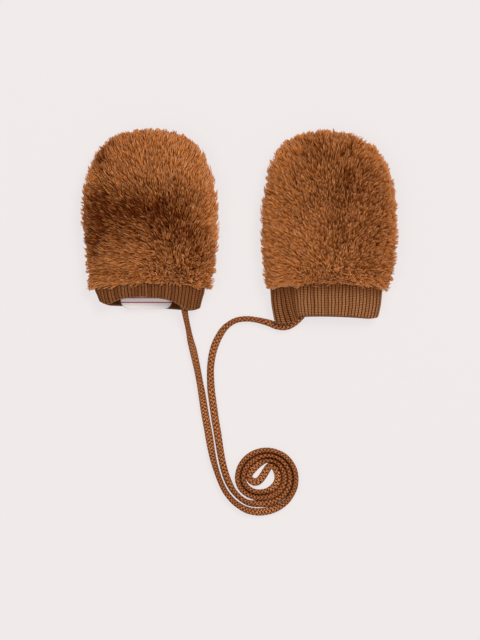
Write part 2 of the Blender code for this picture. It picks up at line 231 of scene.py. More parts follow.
def knit_material(name, knit, shade_name, shade_stops, relief_depth, roughness):
    """Matt yarn in V stitches, with painted shade from one of the mesh's attributes."""
    material, add = new_material(name)
    colour, relief = knit_colour_and_relief(add, *knit)
    amount = add("Attribute", attribute_name=shade_name).outputs["Fac"]
    shade = add("ValToRGB", amount, stops=shade_stops)
    shaded = add("Mix", 1.0, colour, shade, data_type="RGBA", blend_type="MULTIPLY")
    bump = add("Bump", Height=relief, Strength=0.5, Distance=relief_depth * MM)
    shader = add("BsdfPrincipled", Base_Color=shaded, Roughness=roughness, Normal=bump, **FIBRES)
    add("OutputMaterial", shader)
    return material


def cord_material():
    """Knitted acrylic cord: matt, soft, with painted shade in the gaps between its V stitches and in the
    creases between its strands.
    """
    # Yarn colour with painted shade in the holes and painted highlight on the raised stitches
    yarn = ((0.25, "#2a0c02"), (0.5, "#54240a"), (0.7, "#8c4e24"), (0.95, "#ce9064"))
    # Painted shade in the creases where strands touch and where the cord stands on its edge
    crease_shade = ((0.0, "#ffffff"), (0.5, "#c8aa98"), (1.0, "#4a2a1c"))
    return knit_material("knitted_acrylic_cord", (1.0, WALE_STAGGER, yarn), "crease_shade", crease_shade, 0.3, 0.8)


def rib_material():
    """Fine rib knit in cotton: matt, with painted shade between the ribs."""
    # Yarn colour with painted shade in the holes and painted highlight on the raised stitches
    yarn = ((0.2, "#5a2e12"), (0.45, "#804a24"), (0.7, "#a46c40"), (1.0, "#d0a07a"))
    # Painted shade between the ribs, under the fur at the join, and where the ribs gather
    crest_and_shade = ((0.0, "#442e1c"), (0.6, "#baa89a"), (1.0, "#ffffff"))
    return knit_material("cotton_rib_knit", (0.8, 0.0, yarn), "crest_and_shade", crest_and_shade, 0.2, 0.85)


def pile_material():
    """Polyester teddy pile, softly shiny: painted shade at the roots, deep in the pile, and painted
    highlight at the tips. The UV map's u is a lock's tone, and its v runs from root to tip."""
    material, add = new_material("polyester_teddy_pile")
    place = add("UVMap", uv_map="OFBake")
    tone, along, _ = add("SeparateXYZ", place).outputs
    # A lit and a shaded copy of the pile's colours, each with painted shade at the roots and painted
    # highlight at the tips
    lit_pile_stops = ((0.0, "#501800"), (0.4, "#a85a1c"), (0.75, "#e0965a"), (1.0, "#ffcda8"))
    shaded_pile_stops = ((0.0, "#140300"), (0.4, "#3a0f00"), (0.75, "#602002"), (1.0, "#8a420e"))
    light = add("ValToRGB", along, stops=lit_pile_stops)
    dark = add("ValToRGB", along, stops=shaded_pile_stops)
    colour = add("Mix", tone, dark, light, data_type="RGBA")
    finish = {**FIBRES, "Sheen_Weight": PILE_SHEEN}
    shader = add("BsdfPrincipled", Base_Color=colour, Roughness=0.6, **finish)
    add("OutputMaterial", shader)
    return material


def backing_material():
    """Knitted backing of the teddy cloth with the pile's dense roots, seen only between the locks. Its dark
    brown is painted shade, the shade deep in the pile.
    """
    material, add = new_material("teddy_backing_jersey")
    place = add("TexCoord").outputs["Object"]
    grain = add("TexNoise", Vector=place, Scale=1 / (JERSEY_GRAIN * MM), Detail=3.0)
    # Painted shade: the jersey's brown painted dark, as the shade deep between the locks
    colour = add("ValToRGB", grain, stops=((0.3, "#2c1206"), (0.6, "#5a2c12"), (0.8, "#7a4420")))
    bump = add("Bump", Height=grain, Strength=0.5, Distance=0.4 * MM)
    shader = add("BsdfPrincipled", Base_Color=colour, Roughness=0.9, Normal=bump)
    add("OutputMaterial", shader)
    return material


def label_material():
    """Woven satin ribbon: smooth, off-white, with two plain woven stripes."""
    material, add = new_material("woven_satin_ribbon")
    place = add("UVMap", uv_map="weave")
    _, along, _ = add("SeparateXYZ", place).outputs
    scale = 1 / (SATIN_THREAD * BANDS_A_UNIT)
    weave = add("TexWave", bands_direction="Y", Vector=place, Scale=scale, Distortion=0.6).outputs["Fac"]
    white = add("ValToRGB", weave, stops=((0.0, "#dcd2d0"), (1.0, "#f6efee")))
    from_middle = add("Math", along, STRIPES_MIDDLE, operation="SUBTRACT")
    off_middle = add("Math", from_middle, operation="ABSOLUTE")
    from_stripe = add("Math", off_middle, STRIPES_APART / 2, operation="SUBTRACT")
    off_stripe = add("Math", from_stripe, operation="ABSOLUTE")
    in_stripe = add("Math", off_stripe, STRIPE_WIDTH / 2, operation="LESS_THAN")
    colour = add("Mix", in_stripe, white, srgb("#b0303c"), data_type="RGBA")
    bump = add("Bump", Height=weave, Strength=0.2, Distance=0.1 * MM)
    shader = add("BsdfPrincipled", Base_Color=colour, Roughness=0.5, Sheen_Weight=0.2, Normal=bump)
    add("OutputMaterial", shader)
    return material


# The cord: its route from the left cuff to the right one, with how far its flat section is turned from
# lying flat, in degrees

CORD_WIDTH = 5.35
CORD_THICKNESS = 3.9
SECTION_FULLNESS = 0.95  # 1 is an ellipse, and less has fuller corners
ON_FLOOR = 2.5  # the middle's height in rows that lie on the floor, before the section's turn settles it
COIL_TURN = 74
RING_STEP = 0.42
RING_POINTS = 32
SETTLED_OVER = 15  # rings
WALES = 8  # columns of stitches round the cord
WALE_STAGGER = 0.5  # of a stitch, from one column to the next
WALE_SWAY = 0.8  # columns that the stitches wander round the cord
SWAY_LENGTH = 34.0
STITCHES = ((0.0, 2.25), (0.3, 2.4), (0.7, 2.7), (1.0, 2.75))  # a stitch's length, by the share of the cord
STITCH_STRAY = 0.35  # of a stitch, along the cord
STRAY_LENGTH = 7.0
STITCH_TILT = 0.12  # of a stitch, between the cord's two faces
TILT_LENGTH = 4.0
STITCH_RELIEF = 0.25
CREASE_FROM = 3.1  # how near another strand's middle lies where the painted crease shade begins
CREASE_DEPTH = 1.2
STRAND_BETWEEN = 15.0  # the least cord between two strands that are neighbours
ON_EDGE_SHADE = 0.22  # painted shade all round the cord where it stands on its edge, as a share of a crease's

Cord = namedtuple("Cord", "x y turn z", defaults=[ON_FLOOR])
Turn = namedtuple("Turn", "angle radius turn", defaults=[COIL_TURN])

LEFT_LEG = (
    Cord(-41.2, -42.2, 10, 9.9),
    Cord(-40.0, -49.4, 10, 8.8),
    Cord(-39.1, -55.2, 20, 8.6),
    Cord(-38.4, -60.0, 45, 8.2),
    Cord(-37.4, -66.0, 70, 5.7),
    Cord(-35.8, -73.8, 80, 2.8),
    Cord(-34.2, -81.8, 48),
    Cord(-32.4, -88.8, 24),
    Cord(-30.8, -95.8, 34),
    Cord(-29.3, -102.8, 45),
    Cord(-28.0, -109.8, 48),
    Cord(-26.7, -116.8, 36),
    Cord(-25.6, -123.8, 24),
    Cord(-24.5, -130.8, 10),
    Cord(-23.3, -137.8, 0),
    Cord(-22.0, -144.8, 0),
    Cord(-20.8, -151.8, 14),
    Cord(-19.6, -158.8, 34),
    Cord(-18.1, -165.8, 54),
    Cord(-16.1, -172.8, 74),
    Cord(-13.8, -179.4, 88),
    Cord(-10.3, -186.8, 80),
    Cord(-5.2, -193.4, 74),
    Cord(0.2, -197.7, 66),
    Cord(5.4, -200.4, 46),
)
RIGHT_LEG = (
    Cord(52.0, -50.5, 0, 9.0),
    Cord(48.6, -57.2, 0, 7.8),
    Cord(43.8, -63.6, 0, 6.6),
    Cord(38.6, -68.8, 0, 5.2),
    Cord(32.8, -71.8, 0, 3.6),
    Cord(26.4, -71.6, 25, 2.6),
    Cord(19.4, -69.2, 50),
    Cord(11.7, -67.4, 75),
    Cord(5.1, -66.7, 80),
    Cord(-1.6, -67.5, 78),
    Cord(-7.0, -70.2, 70),
    Cord(-11.6, -74.6, 45),
    Cord(-15.8, -81.8, 25),
    Cord(-18.3, -88.8, 20),
    Cord(-19.7, -95.8, 32),
    Cord(-20.3, -102.8, 36),
    Cord(-20.2, -109.8, 24),
    Cord(-19.8, -116.8, 8),
    Cord(-18.9, -123.8, 4),
    Cord(-17.9, -130.8, 0),
    Cord(-16.9, -137.8, 0),
    Cord(-15.7, -144.8, 6),
    Cord(-14.6, -151.8, 20),
    Cord(-13.5, -158.8, 28),
    Cord(-12.2, -165.8, 32),
    Cord(-10.5, -172.8, 34),
    Cord(-8.1, -179.8, 38),
    Cord(-4.6, -186.4, 62),
    Cord(0.2, -191.7, 76),
    Cord(5.3, -194.9, 64),
)
# The doubled middle of the cord, rolled up: one strand winds in, hooks back at the middle and winds out
COIL_MIDDLE = (18.8, -178.1)
WINDS_IN = (
    Turn(-108, 24.7, 28),
    Turn(-99, 23.8, 10),
    Turn(-88, 22.9, 4),
    Turn(-75, 22.1, 25),
    Turn(-60, 21.7, 58),
    Turn(-42, 21.2, 72),
    Turn(-15, 20.8),
    Turn(15, 20.4),
    Turn(45, 20.0),
    Turn(72, 19.5, 75),
    Turn(95, 19.3, 60),
    Turn(118, 19.3, 50),
    Turn(138, 19.7, 65),
    Turn(158, 20.0),
    Turn(178, 20.1),
    Turn(192, 19.7, 75),
    Turn(205, 18.8, 68),
    Turn(218, 17.5, 68),
    Turn(230, 16.2, 66),
    Turn(243, 15.0, 66),
    Turn(257, 13.8, 74),
    Turn(273, 13.1, 68),
    Turn(292, 12.9, 68),
    Turn(320, 12.9, 68),
    Turn(350, 12.9, 68),
    Turn(380, 12.9),
    Turn(408, 13.1),
    Turn(430, 13.0),
    Turn(449, 12.5, 76),
    Turn(464, 11.9, 48),
    Turn(480, 11.4, 16),
    Turn(497, 11.2, 8),
    Turn(512, 11.5, 20),
    Turn(526, 12.1, 40),
)
HOOK = (
    Cord(6.7, -177.4, 48),
    Cord(8.4, -179.9, 28),
    Cord(11.2, -180.8, 10),
    Cord(13.9, -179.6, 0),
    Cord(16.3, -176.7, 0),
    Cord(18.3, -173.4, 12),
    Cord(20.0, -170.8, 34),
    Cord(22.2, -169.1, 50),
)
WINDS_OUT = (
    Turn(412, 9.5, 40),
    Turn(394, 8.9, 22),
    Turn(369, 8.4, 6),
    Turn(341, 8.2, 0),
    Turn(311, 8.2, 12),
    Turn(283, 8.7, 40),
    Turn(261, 9.5, 74),
    Turn(242, 11.1),
    Turn(227, 12.7),
    Turn(214, 14.0),
    Turn(202, 15.1),
    Turn(190, 15.9),
    Turn(172, 16.3),
    Turn(148, 16.0),
    Turn(118, 15.5),
    Turn(87, 15.8),
    Turn(57, 16.3),
    Turn(27, 16.6),
    Turn(0, 16.8, 68),
    Turn(-28, 17.0, 64),
    Turn(-54, 17.1, 52),
    Turn(-78, 17.4, 44),
    Turn(-92, 17.8, 34),
    Turn(-105, 18.4, 24),
    Turn(-118, 20.1, 46),
)


def coil_rows(turns):
    """The rows of a coil's turn, from its angles and radii."""
    rows = []
    for turn in turns:
        angle = math.radians(turn.angle)
        x = COIL_MIDDLE[0] + turn.radius * math.cos(angle)
        y = COIL_MIDDLE[1] + turn.radius * math.sin(angle)
        rows.append(Cord(x, y, turn.turn))
    return rows


def cord_centreline():
    """Evenly spaced rows of x, y, z and turn along the whole cord."""
    rows = [*LEFT_LEG, *coil_rows(WINDS_IN), *HOOK, *coil_rows(WINDS_OUT), *RIGHT_LEG[::-1]]
    curve = smooth_curve([(row.x, row.y, row.z, row.turn) for row in rows])
    length = np.linalg.norm(np.diff(curve[:, :3], axis=0), axis=1).sum()
    return evenly(curve, round(length / RING_STEP) + 1), length


def contact_shade(points, middle):
    """How close each point of the cord comes to a neighbouring strand: 1 where the two touch. It sets the
    painted shade in the creases between strands.
    """
    marks = np.arange(0, len(middle), 4)
    shares = []
    for i, ring in enumerate(points):
        others = middle[marks[np.abs(marks - i) > STRAND_BETWEEN / RING_STEP], :2]
        apart = np.linalg.norm(ring[:, None, :2] - others, axis=2).min(axis=1)
        shares.append(np.clip((CREASE_FROM - apart) / CREASE_DEPTH, 0, 1))
    return np.array(shares)


def knitted_cord(material):
    """One round knitted tube, squeezed flat, its V stitches raised."""
    line, length = cord_centreline()
    middle = line[:, :3].copy()
    turn = np.radians(line[:, 3])
    on_floor = middle[:, 2] <= ON_FLOOR + 0.01
    half_up = np.hypot(CORD_WIDTH / 2 * np.sin(turn), CORD_THICKNESS / 2 * np.cos(turn))
    settled = np.where(on_floor, half_up + STITCH_RELIEF / 2, middle[:, 2])
    kernel = np.ones(SETTLED_OVER) / SETTLED_OVER
    middle[:, 2] = np.convolve(np.pad(settled, SETTLED_OVER // 2, mode="edge"), kernel, mode="valid")
    ahead = np.gradient(middle, axis=0)
    ahead /= np.linalg.norm(ahead, axis=1)[:, None]
    side = np.cross(ahead, (0, 0, 1))
    side /= np.linalg.norm(side, axis=1)[:, None]
    up = np.cross(side, ahead)

    round_share = np.arange(RING_POINTS) / RING_POINTS
    angle = round_share * 2 * math.pi
    along = np.linspace(0, length, len(middle))
    wide = CORD_WIDTH / 2 - STITCH_RELIEF
    thick = CORD_THICKNESS / 2 - STITCH_RELIEF
    across = (np.sign(np.cos(angle)) * np.abs(np.cos(angle)) ** SECTION_FULLNESS)[None, :]
    above = (np.sign(np.sin(angle)) * np.abs(np.sin(angle)) ** SECTION_FULLNESS)[None, :]
    on_line = np.stack([along, 0 * along, 0 * along], axis=1)
    sways = WALE_SWAY * drift(on_line, SWAY_LENGTH, 41)
    strays = STITCH_STRAY * drift(on_line, STRAY_LENGTH, 43)
    tilts = STITCH_TILT * drift(on_line, TILT_LENGTH, 47)
    u = round_share[None, :] * WALES + sways[:, None]
    stitches = np.cumsum(RING_STEP / np.interp(along / length, *zip(*STITCHES)))
    v = (stitches + strays)[:, None] + tilts[:, None] * np.sin(angle)
    off = np.abs(u % 1 - 0.5)
    yarn = 1 - np.abs(4 * off - 1)
    bead = np.sin(math.pi * ((v + off + WALE_STAGGER * (np.floor(u) % 2)) % 1))
    relief = STITCH_RELIEF * (yarn + bead - yarn * bead)
    grow = 1 + relief / ((wide + thick) / 2)
    local_x, local_z = wide * across * grow, thick * above * grow
    cos, sin = np.cos(turn)[:, None], np.sin(turn)[:, None]
    flat_x, flat_z = local_x * cos - local_z * sin, local_x * sin + local_z * cos
    points = middle[:, None] + side[:, None] * flat_x[..., None] + up[:, None] * flat_z[..., None]
    points[..., 2] = np.maximum(points[..., 2], 0.05)

    rings, count = points.shape[:2]
    index = np.arange(rings * count).reshape(rings, count)
    after = np.roll(index, -1, axis=1)
    quads = np.stack([index[:-1], after[:-1], after[1:], index[1:]], axis=-1).reshape(-1, 4)
    faces = [*quads.tolist(), index[0, ::-1].tolist(), index[-1].tolist()]
    piece = mesh_object("knitted_cord", points.reshape(-1, 3), faces, material)
    layer = piece.data.uv_layers.new(name="knit")
    beside = WALES / count
    corner_u = np.stack([u[:-1], u[:-1] + beside, u[1:] + beside, u[1:]], axis=-1)
    next_v = np.roll(v, -1, axis=1)
    corner_v = np.stack([v[:-1], next_v[:-1], next_v[1:], v[1:]], axis=-1)
    places = np.stack([corner_u, corner_v], axis=-1).reshape(-1, 2)
    places = np.vstack([places, np.zeros((2 * count, 2))])
    layer.data.foreach_set("uv", places.ravel())
    # Painted shade in the creases where strands touch, and all round the cord where it stands on its edge
    add_shade(piece, "crease_shade", np.maximum(contact_shade(points, middle), ON_EDGE_SHADE * sin**2))
    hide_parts("cord_left", "cord_coil", "cord_right")
    return piece


# Cuffs: the solids' tables, measured again from the photograph, with finer ribs and stitches

SECTION_POWER = 3
SECTION_STEPS = 1440
CUFF_WALL = 2.4
RIB_HEIGHT = 0.65
RIB_COUNT = 66
RIB_POINTS = 8
RIB_FULLNESS = 0.7  # below 1, so that the crests are broad and the gaps narrow
RIB_WANDER = 0.2  # of a rib
CUFF_ROW_STEP = 0.5
CUFF_STITCH = 1.1
INSIDE_STEP = 3  # rows of the outside for each row of the inside
SEAM_ARCH = 4.0
HEM_ROUND = 0.72
HEM_STEPS = 5
TURN_IN_STEPS = 4
CORNER_FROM = 0.8  # of the half width, where a corner's rise begins
LOBE_ACROSS = -28.5
LOBE_HALF_WIDTH = 9.5
RIB_PULL_AT = 0.43  # of the way round, where the ribs gather
RIB_PULL_REACH = 0.04
PULL_SHADE = 12
PULL_SHADE_REACH = 0.06
UNDER_FUR_SHADE = 0.45  # how much of the ribs' light the fur takes at the join
UNDER_FUR_REACH = 0.3

CuffRow = namedtuple("CuffRow", "along half_width mid half_height")

# The hem's middle rises by its arch, which the bow shares out by the place across. The tilt is how much
# further along its right end lies than its left one. The lobe sticks out in front. One more entry is the
# share of painted shade that darkens all of a cuff's ribs: the left cuff lies more in shade.
CUFFS = {
    "left": {
        "shift": 0.0,
        "hem_arch": 7.6,
        "hem_arch_back": 0.6,
        "hem_bow": (
            (-1.0, 0.0), (-0.9, 0.02), (-0.82, 0.16), (-0.73, 0.4), (-0.6, 0.66), (-0.4, 0.88),
            (-0.15, 1.0), (0.1, 0.98), (0.3, 0.9), (0.44, 0.78), (0.55, 0.6), (0.65, 0.34),
            (0.74, 0.14), (0.85, 0.03), (1.0, 0.0),
        ),
        "hem_tilt": -4.0,
        "corner_rises": (2.2, 1.8),
        "hem_lobe": 0.0,
        "rib_pull": 0.0,
        # share of painted shade over all of this cuff's ribs
        "closed": 0.34,
        "rows": (
            CuffRow(9.0, 38.4, 10.3, 6.0),
            CuffRow(0.0, 37.9, 9.6, 6.2),
            CuffRow(-5.0, 36.4, 8.6, 7.2),
            CuffRow(-9.6, 35.2, 8.0, 7.4),
            CuffRow(-11.4, 34.7, 8.0, 7.2),
        ),
    },
    "right": {
        "shift": -2.2,
        "hem_arch": 2.3,
        "hem_arch_back": 1.7,
        "hem_bow": (),
        "hem_tilt": -0.8,
        "corner_rises": (0.0, 1.2),
        "hem_lobe": -4.0,
        "rib_pull": 0.028,
        "closed": 0.0,
        "rows": (
            CuffRow(2.4, 38.7, 10.2, 6.0),
            CuffRow(0.0, 38.6, 9.8, 6.2),
            CuffRow(-9.0, 37.9, 7.8, 7.0),
            CuffRow(-16.0, 36.6, 6.6, 6.7),
            CuffRow(-18.6, 35.8, 6.5, 6.4),
        ),
    },
}


def section(angle, half_width, half_height):
    """Points round the cuff's cross-section: an ellipse with fuller sides."""
    across = np.sign(np.cos(angle)) * np.abs(np.cos(angle)) ** (2 / SECTION_POWER)
    return half_width * across, half_height * np.sin(angle)


def cuff_ring(lay, row, shares, inset, lift, pull):
    """Points round the cuff at one row. inset moves them inwards and lift outwards along the surface."""
    turn = np.linspace(0, 2 * math.pi, SECTION_STEPS + 1)
    half_width, half_height = row.half_width - inset, row.half_height - inset
    x, z = section(turn, half_width, half_height)
    girth = np.concatenate([[0], np.cumsum(np.hypot(np.diff(x), np.diff(z)))])
    wanted = shares - pull * np.exp(-(((shares - RIB_PULL_AT) / RIB_PULL_REACH) ** 2))
    angle = np.interp(wanted * girth[-1], girth, turn)
    x, z = section(angle, half_width, half_height)
    normal_x = SECTION_POWER * np.sign(x) * np.abs(x / half_width) ** (SECTION_POWER - 1) / half_width
    normal_z = 2 * z / half_height**2
    size = np.hypot(normal_x, normal_z)
    lowest = RIB_HEIGHT - lift + (CUFF_WALL if inset >= CUFF_WALL else 0)
    height = np.maximum(row.mid + z + lift * normal_z / size, lowest)
    join, hem = lay["rows"][0], lay["rows"][-1]
    to_hem = (join.along - row.along) / (join.along - hem.along)
    across = x / half_width
    bow = 1 - across**2
    front_bow = np.interp(across, *zip(*lay["hem_bow"])) if lay["hem_bow"] else bow
    hem_rise = np.where(z > 0, lay["hem_arch"] * front_bow, lay["hem_arch_back"] * bow)
    rise = SEAM_ARCH * (1 - to_hem) * bow + to_hem * hem_rise
    off_lobe = np.clip(np.abs(x - LOBE_ACROSS) / LOBE_HALF_WIDTH, 0, 1)
    lobe = lay["hem_lobe"] * to_hem**2 * (1 - off_lobe**4) * (z > 0)
    corner = np.where(x < 0, *lay["corner_rises"]) * to_hem**2
    corner *= np.clip((np.abs(across) - CORNER_FROM) / (1 - CORNER_FROM), 0, 1) ** 2
    along = row.along + rise + lay["hem_tilt"] / 2 * across * to_hem**2 + lobe + corner
    return np.stack([x + lift * normal_x / size + lay["shift"], along, height], axis=1)


def ribbed_cuff(side, material):
    """One tube of doubled rib knit: ribs outside, a rolled hem, and the plain inside."""
    lay = CUFFS[side]
    pull = lay["rib_pull"]
    table = np.array(lay["rows"])
    curve = smooth_curve(table, 8)
    count = round(abs(table[0, 0] - table[-1, 0]) / CUFF_ROW_STEP) + 1
    rows = []
    for along in np.linspace(table[0, 0], table[-1, 0], count):
        rows.append(CuffRow(along, *(np.interp(-along, -curve[:, 0], column) for column in curve.T[1:])))
    ring = RIB_COUNT * RIB_POINTS
    shares = np.arange(ring) / ring
    u = shares * RIB_COUNT
    off = np.abs(u % 1 - 0.5)
    crest_and_shade = np.abs(np.sin(math.pi * (u % 1))) ** RIB_FULLNESS
    # The ribs' light: painted shade where they gather towards the cord and over a whole cuff by its share,
    # and random unevenness
    gathered_shade = pull * PULL_SHADE * np.exp(-(((shares - RIB_PULL_AT) / PULL_SHADE_REACH) ** 2))
    unevenness = 1 + 0.5 * drift(np.stack([u, 0 * u, 0 * u], axis=1), 1.3, 3)
    shade_and_unevenness = np.clip((1 - lay["closed"]) * (1 - gathered_shade) * unevenness, 0, 1)
    points, uv, rib_shades = [], [], []

    def add_ring(row, wander, inset, lift, pull_here, v, light):
        points.append(cuff_ring(lay, row, shares + wander, inset, lift, pull_here))
        uv.append(np.stack([u, np.full(ring, v)], axis=1))
        rib_shades.append(light)

    for i, row in enumerate(rows):
        share = i / (len(rows) - 1)
        v = i * CUFF_ROW_STEP / CUFF_STITCH
        bead = np.sin(math.pi * ((v + off * 0.9) % 1))
        lift = RIB_HEIGHT * crest_and_shade * (0.8 + 0.2 * bead)
        places = np.stack([u, np.full(ring, v / 2), 0 * u], axis=1)
        wander = drift(places, 2.6, 11) * np.sin(math.pi * shares) * RIB_WANDER / RIB_COUNT
        # Painted shade in the grooves between the ribs and painted shadow of the fur at the join
        light = crest_and_shade * (1 - UNDER_FUR_SHADE * math.exp(-((share / UNDER_FUR_REACH) ** 2))) * shade_and_unevenness
        add_ring(row, wander, 0.0, lift, pull * share, v, light)
    last = rows[-1]
    # The hem's roll, its turn-in and the inside take painted shade, darkest inside the tube
    for step in range(1, HEM_STEPS + 1):
        done = step / HEM_STEPS
        turn = math.pi / 2 * done
        drop = last._replace(along=last.along - HEM_ROUND * math.sin(turn))
        inset = CUFF_WALL / 2 * (1 - math.cos(turn))
        lift = RIB_HEIGHT * crest_and_shade * (1 - done) * 0.8
        add_ring(drop, 0, inset, lift, pull, v + step * 0.3, crest_and_shade * (1 - done) + 0.7 * done)
    for step in range(1, TURN_IN_STEPS + 1):
        turn = math.pi / 2 * step / TURN_IN_STEPS
        drop = last._replace(along=last.along - HEM_ROUND * math.cos(turn))
        inset = CUFF_WALL / 2 * (1 + math.sin(turn)) - (0.001 if step < TURN_IN_STEPS else 0)
        add_ring(drop, 0, inset, 0 * crest_and_shade, pull, v + 1.5 + step * 0.3, 0 * crest_and_shade + 0.45)
    for i in reversed(range(0, len(rows) - 2, INSIDE_STEP)):
        v = i * CUFF_ROW_STEP / CUFF_STITCH
        add_ring(rows[i], 0, CUFF_WALL, -0.15 * crest_and_shade, pull * i / len(rows), v, 0.3 * (1 - crest_and_shade) + 0.1)
    points = np.array(points)
    points[..., :2] += PLACES[side]
    index = np.arange(points.shape[0] * ring).reshape(-1, ring)
    index = np.vstack([index, index[:1]])
    after = np.roll(index, -1, axis=1)
    quads = np.stack([index[:-1], index[1:], after[1:], after[:-1]], axis=-1).reshape(-1, 4)
    piece = mesh_object(f"{side}_rib_cuff", points.reshape(-1, 3), quads.tolist(), material)
    uv = np.array(uv)
    uv = np.vstack([uv, uv[:1]])
    layer = piece.data.uv_layers.new(name="knit")
    beside = uv + (RIB_COUNT / ring, 0)
    corners = np.stack([uv[:-1], uv[1:], beside[1:], beside[:-1]], axis=2)
    layer.data.foreach_set("uv", corners.reshape(-1))
    # Painted shade of the ribs' grooves, the fur's shadow, the gathered ribs and the tube's inside
    add_shade(piece, "crest_and_shade", rib_shades)
    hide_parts(f"{side}_cuff")
    return piece


# Label


def woven_label(material):
    """The label's solid with its look, smooth shaded."""
    shape = bmesh.new()
    shape.from_mesh(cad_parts["left_label"].data)
    bmesh.ops.remove_doubles(shape, verts=shape.verts, dist=0.01 * MM)
    shape.verts.index_update()
    points = np.array([v.co for v in shape.verts]) / MM
    faces = [[v.index for v in face.verts] for face in shape.faces]
    shape.free()
    piece = mesh_object("woven_label", points, faces, material)
    add_uv(piece, "weave", points[:, :2])
    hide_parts("left_label")
    return piece


# Teddy cloth: a jersey backing and the pile's locks, both worked out from the panels' solids

PILE_DEPTH = 4.2  # from the fur's reach down to its backing
BACKING = 1.6  # the jersey's thickness
RIM_REACH = 3.5  # over which the pile thins and takes painted light towards the outline
MIDDLE_TONE = 0.68  # from 0, dark, to 1, light
DARKEST = 0.9  # the most painted shade that partings take off the tone
# painted shade over the back panels, which lie towards the floor
BACK_PANEL_SHADE = 0.2
PATCH_TONES = 0.12
CLUMP_TONES = 0.1
TUFT_TONES = 0.07
LOCK_TONES = 0.14
# painted light that pales the locks at the outline
RIM_LIGHT = 0.5
LOW_POINTS = 0.55  # of their ring's height up the lock, for the colour of the two that lie below: painted shade on a lock's sides beside its lighter ridge

LockKind = namedtuple("LockKind", "name front_count back_count rings half_width reach depth tone")

# The under-hair fills the pile, and the longer top hair lies over it
LOCK_KINDS = (
    LockKind("under", 7500, 0, (0.0, 0.5), 0.62, 5.0, 2.9, -0.08),
    LockKind("top", 12000, 5200, (0.0, 0.4, 0.75), 0.44, 9.0, 2.1, 0.05),
)
RING_SHARES = (0.8, 1.0, 0.75)  # of a lock's half width, ring by ring
SPREAD = 0.64  # of an even grid's step, the least from one lock to the next

# How the locks lie. Angles are in degrees. A pair is how much changes from lock to lock, and how much
# slowly, over a few millimetres.
COMB_REACH = 10.0  # how far one of the comb's rows counts
UNEVEN_LIFT = 0.9  # where the rows disagree
STRAY = 5
STRAY_WHERE_UNEVEN = 60
SWIRL = 26
COMBED_DOWN = 0.25  # the fronts' slope towards the floor
SIZES = (0.16, 0.15)
BENDS = (0.4, 1.6)
WAVES = (0.15, 0.7)
ROOT_BELOW = 0.2  # the backing's outer face
HEM_LOCKS = 8.0  # from the fur's lower edge, where the locks' reach varies more
LOCKS_A_TUFT = 3
TUFT_PULL = 0.48  # how far a lock's tip is drawn to its tuft's leader
PROUD = 0.8  # how far tufts stand out of the pile, on average
PROUDEST = 3.2

# How far the cloth lies inside the panels' solids at the tips, by the place across
TIP_FROM = 66.0
TIP_TO = 98.0
TIP_DROPS = {
    "left": ((-40, 0.0), (-28, 1.0), (-16, 2.4), (-4, 3.0), (10, 2.2), (20, 2.0), (30, 1.0), (40, 0.4)),
    "right": (
        (-44, -1.0), (-32, -0.6), (-24, 2.0), (-14, 3.0), (0, 2.8),
        (14, 3.8), (26, 4.2), (36, 2.6), (46, 1.4),
    ),
}
# How far the cloth is drawn in at the panels' left edge, by the place along
SIDE_DRAWS = {
    "left": ((2, 0.0), (10, 1.6), (18, 1.5), (36, 1.5), (48, 0.4), (56, 0.0)),
    "right": ((60, 0.0), (66, 0.8), (76, 0.8), (84, 0.0)),
}
SIDE_FROM = -20.0
SIDE_TO = -42.0

Comb = namedtuple("Comb", "across along heading lift", defaults=[0.2])
Parting = namedtuple("Parting", "across along heading length width dark")

# Which way the pile's tips point, counter-clockwise from the right in degrees, and how upright it stands
COMBED = {
    "left": (
        Comb(0, 108, 92),
        Comb(-26, 100, 112),
        Comb(26, 100, 68),
        Comb(0, 84, 96),
        Comb(-32, 80, 122),
        Comb(32, 80, 72),
        Comb(-42, 62, 150),
        Comb(42, 62, 50),
        Comb(-12, 68, 122, 0.3),
        Comb(14, 64, 96, 0.5),
        Comb(-26, 52, 146, 0.3),
        Comb(-40, 40, 165),
        Comb(-10, 42, 158, 0.4),
        Comb(-22, 28, 172, 0.1),
        Comb(-4, 26, 168, 0.1),
        Comb(8, 22, 130, 0.3),
        Comb(12, 40, 120, 0.5),
        Comb(28, 36, 72, 0.4),
        Comb(42, 34, 40),
        Comb(12, 14, 110, 0.5),
        Comb(26, 18, 80, 0.5),
        Comb(42, 14, 20, 0.3),
        Comb(-30, 14, 176, 0.1),
        Comb(-8, 12, 172, 0.1),
        Comb(-34, -5, 220, 0.0),
        Comb(-12, -5, 250, 0.0),
        Comb(12, -5, 272, 0.0),
        Comb(36, -5, 305, 0.0),
    ),
    "right": (
        Comb(0, 108, 90),
        Comb(-26, 100, 118),
        Comb(26, 100, 58),
        Comb(-36, 84, 138, 0.1),
        Comb(-40, 62, 146, 0.1),
        Comb(-42, 40, 152, 0.1),
        Comb(-38, 20, 156, 0.1),
        Comb(-18, 84, 112, 0.3),
        Comb(-16, 60, 112, 0.7),
        Comb(-16, 38, 124, 0.5),
        Comb(-14, 20, 150),
        Comb(8, 84, 88, 0.4),
        Comb(6, 60, 78, 0.8),
        Comb(6, 36, 84, 0.7),
        Comb(30, 84, 44, 0.3),
        Comb(26, 62, 66, 0.7),
        Comb(42, 64, 18, 0.3),
        Comb(24, 36, 60, 0.6),
        Comb(42, 38, 4, 0.3),
        Comb(40, 16, 345, 0.1),
        Comb(22, 16, 40, 0.5),
        Comb(2, 14, 92, 0.5),
        Comb(-30, -6, 200, 0.0),
        Comb(-8, -6, 262, 0.0),
        Comb(16, -6, 285, 0.0),
        Comb(38, -4, 325, 0.0),
    ),
}
